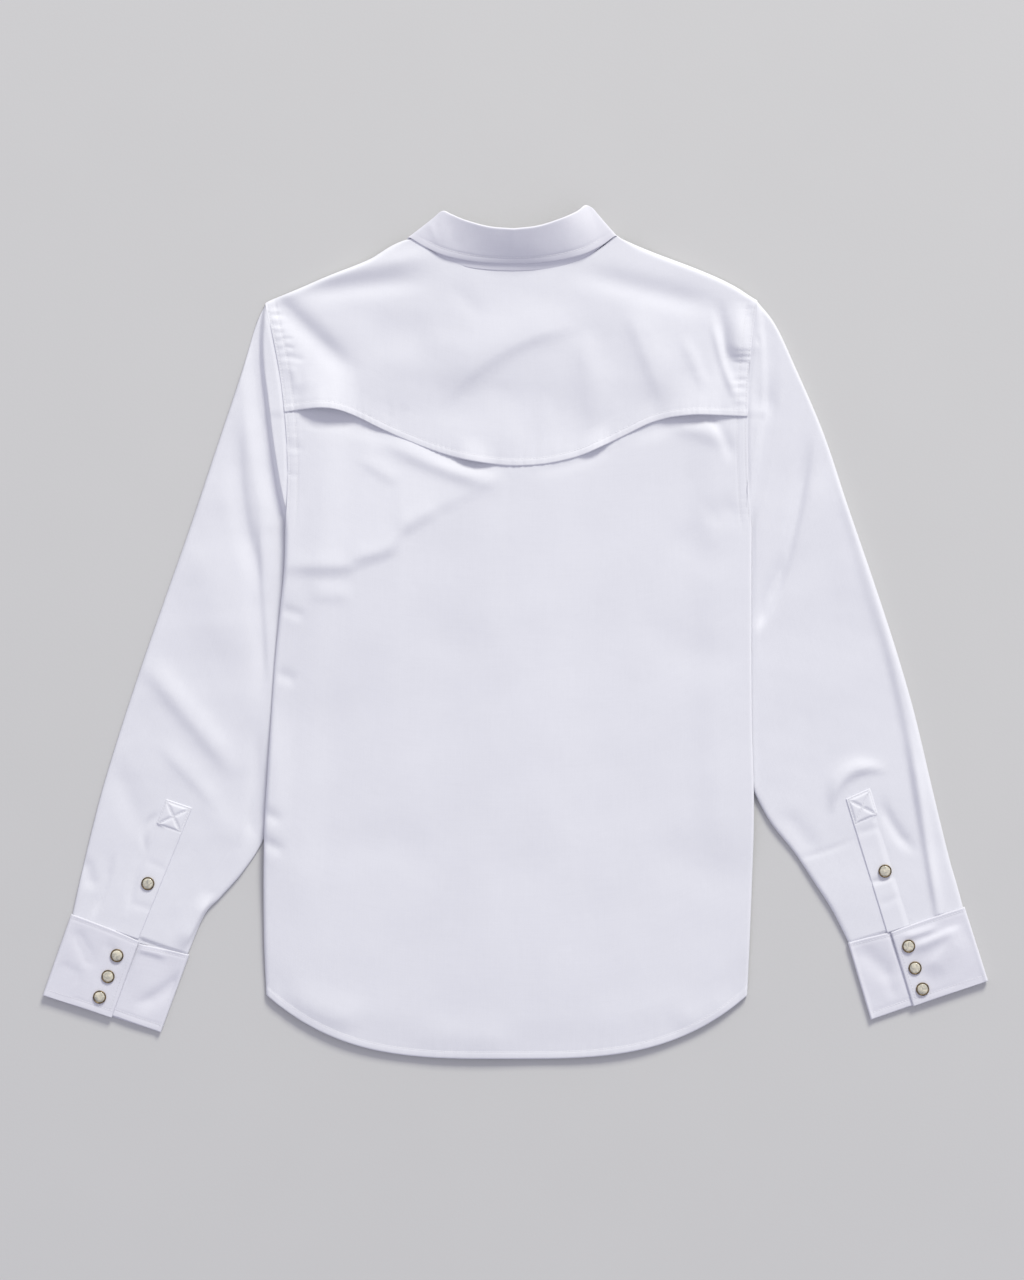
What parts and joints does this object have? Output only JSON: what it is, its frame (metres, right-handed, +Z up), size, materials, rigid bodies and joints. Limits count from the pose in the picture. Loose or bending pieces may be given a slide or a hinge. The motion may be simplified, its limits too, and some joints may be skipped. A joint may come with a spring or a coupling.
{
  "type": "western dress shirt laid flat",
  "caption": "White long-sleeved western dress shirt lying face down, with a loose pointed back yoke, turned-down collar, snap cuffs and a curved tail hem.",
  "frame": {"origin": "middle of the outline on the surface that the shirt lies on", "axes": "+Z up, out of the wearer's back; +Y towards the collar; +X towards the wearer's right sleeve"},
  "size_m": [0.8892, 0.8027, 0.026],
  "materials": {
    "cotton": "fine plain-woven white shirting, matt with a faint cool sheen",
    "interlined_cotton": "the same shirting over interlining, smoother and stiffer",
    "snap_pearl": "cream pearl, glossy and slightly domed",
    "snap_rim": "thin antiqued metal rim"
  },
  "bodies": {
    "root": {"back": "cotton", "back_yoke": "cotton", "front_left": "cotton", "front_right": "cotton", "sleeve_left": "cotton", "sleeve_right": "cotton", "front_placket": "interlined_cotton", "cuff_left": "interlined_cotton", "cuff_right": "interlined_cotton", "sleeve_placket_left": "interlined_cotton", "sleeve_placket_right": "interlined_cotton", "collar_leaf": "interlined_cotton", "collar_stand": "interlined_cotton", "snap_left_placket_rim": "snap_rim", "snap_left_placket_pearl": "snap_pearl", "snap_left_cuff_1_rim": "snap_rim", "snap_left_cuff_1_pearl": "snap_pearl", "snap_left_cuff_2_rim": "snap_rim", "snap_left_cuff_2_pearl": "snap_pearl", "snap_left_cuff_3_rim": "snap_rim", "snap_left_cuff_3_pearl": "snap_pearl", "snap_right_placket_rim": "snap_rim", "snap_right_placket_pearl": "snap_pearl", "snap_right_cuff_1_rim": "snap_rim", "snap_right_cuff_1_pearl": "snap_pearl", "snap_right_cuff_2_rim": "snap_rim", "snap_right_cuff_2_pearl": "snap_pearl", "snap_right_cuff_3_rim": "snap_rim", "snap_right_cuff_3_pearl": "snap_pearl", "snap_collar_rim": "snap_rim", "snap_collar_pearl": "snap_pearl", "snap_front_1_rim": "snap_rim", "snap_front_1_pearl": "snap_pearl", "snap_front_2_rim": "snap_rim", "snap_front_2_pearl": "snap_pearl", "snap_front_3_rim": "snap_rim", "snap_front_3_pearl": "snap_pearl", "snap_front_4_rim": "snap_rim", "snap_front_4_pearl": "snap_pearl", "snap_front_5_rim": "snap_rim", "snap_front_5_pearl": "snap_pearl", "snap_front_6_rim": "snap_rim", "snap_front_6_pearl": "snap_pearl", "snap_front_7_rim": "snap_rim", "snap_front_7_pearl": "snap_pearl"}
  },
  "joints": []
}
